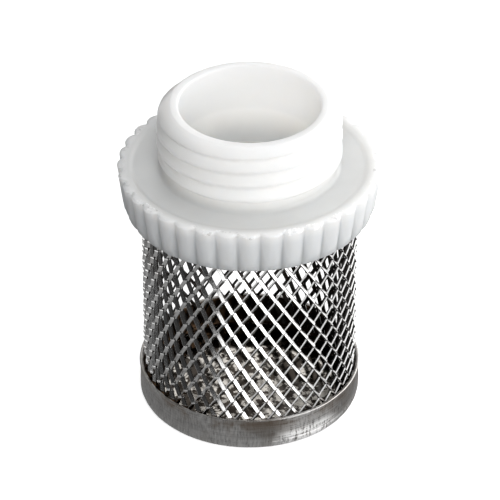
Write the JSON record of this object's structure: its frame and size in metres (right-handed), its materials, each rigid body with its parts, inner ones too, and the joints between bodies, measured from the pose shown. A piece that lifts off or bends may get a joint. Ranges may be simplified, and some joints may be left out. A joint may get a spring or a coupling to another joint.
{
  "type": "foot valve with strainer basket",
  "caption": "Spring-loaded check valve in a nylon screw-in body with a lobed grip collar, above a cylindrical expanded-metal strainer basket closed by a pressed steel cap.",
  "frame": {"origin": "centre of the flat underside of the bottom cap", "axes": "+Z along the flow axis, from the strainer up to the threaded outlet; one lobe of the grip collar is centred on -Y"},
  "size_m": [0.0298, 0.0298, 0.0388],
  "materials": {
    "nylon": "natural translucent moulding",
    "mesh_steel": "bright expanded sheet",
    "cap_steel": "pressed, streaked",
    "acetal": "satin",
    "nitrile": "matt",
    "spring_steel": "drawn wire"
  },
  "bodies": {
    "valve_body": {"threaded_body": "nylon", "mesh_basket": "mesh_steel", "bottom_cap": "cap_steel", "cartridge_housing": "acetal", "cartridge_guide": "acetal", "valve_spring": "spring_steel", "cartridge_o_ring": "nitrile", "retaining_ring": "spring_steel"},
    "poppet_assembly": {"poppet": "acetal", "poppet_seal": "nitrile"}
  },
  "joints": [
    {"name": "poppet_lift", "type": "slide", "parent": "valve_body", "child": "poppet_assembly", "axis": [0, 0, 1], "range_m": [0, 0.0022], "deforming": ["valve_spring"]}
  ]
}
